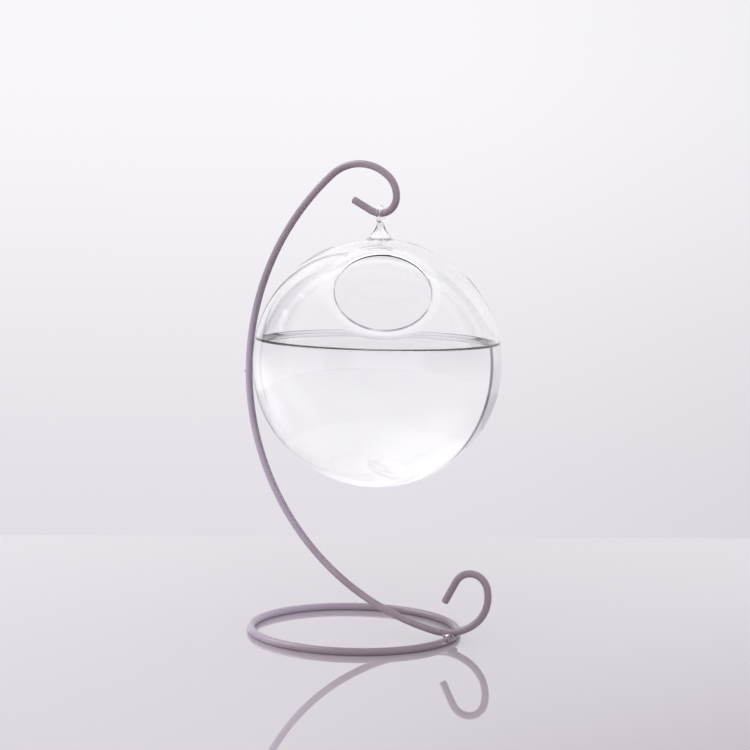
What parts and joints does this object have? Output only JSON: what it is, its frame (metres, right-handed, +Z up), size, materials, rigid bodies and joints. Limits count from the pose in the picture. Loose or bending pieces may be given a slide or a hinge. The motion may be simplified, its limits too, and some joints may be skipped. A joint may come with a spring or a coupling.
{
  "type": "propagation vase",
  "caption": "Hanging propagation vase: a clear glass globe with a side mouth, half full of water, swings by its glass eye from a hooked wire stand that ends in a curl over a base ring.",
  "frame": {"origin": "on the table, at the centre of the base ring", "axes": "+Z is up, the stand's wire lies in the XZ plane with its curl towards +X, and the globe's mouth looks out towards -Y and a little +X"},
  "size_m": [0.1324, 0.12, 0.2296],
  "materials": {
    "painted_wire": "satin",
    "painted_weld": "satin",
    "clear_glass": "polished",
    "clear_water": "gloss"
  },
  "bodies": {
    "stand": {"base_ring": "painted_wire", "stand_rod": "painted_wire", "stand_weld": "painted_weld"},
    "vessel": {"globe": "clear_glass", "hanging_eye": "clear_glass", "water": "clear_water"}
  },
  "joints": [
    {"name": "globe_swing", "type": "hinge", "parent": "stand", "child": "vessel", "pos_m": [0.0092, 0, 0.20455], "axis": [1, 0, 0], "range_deg": [-30, 30]}
  ]
}
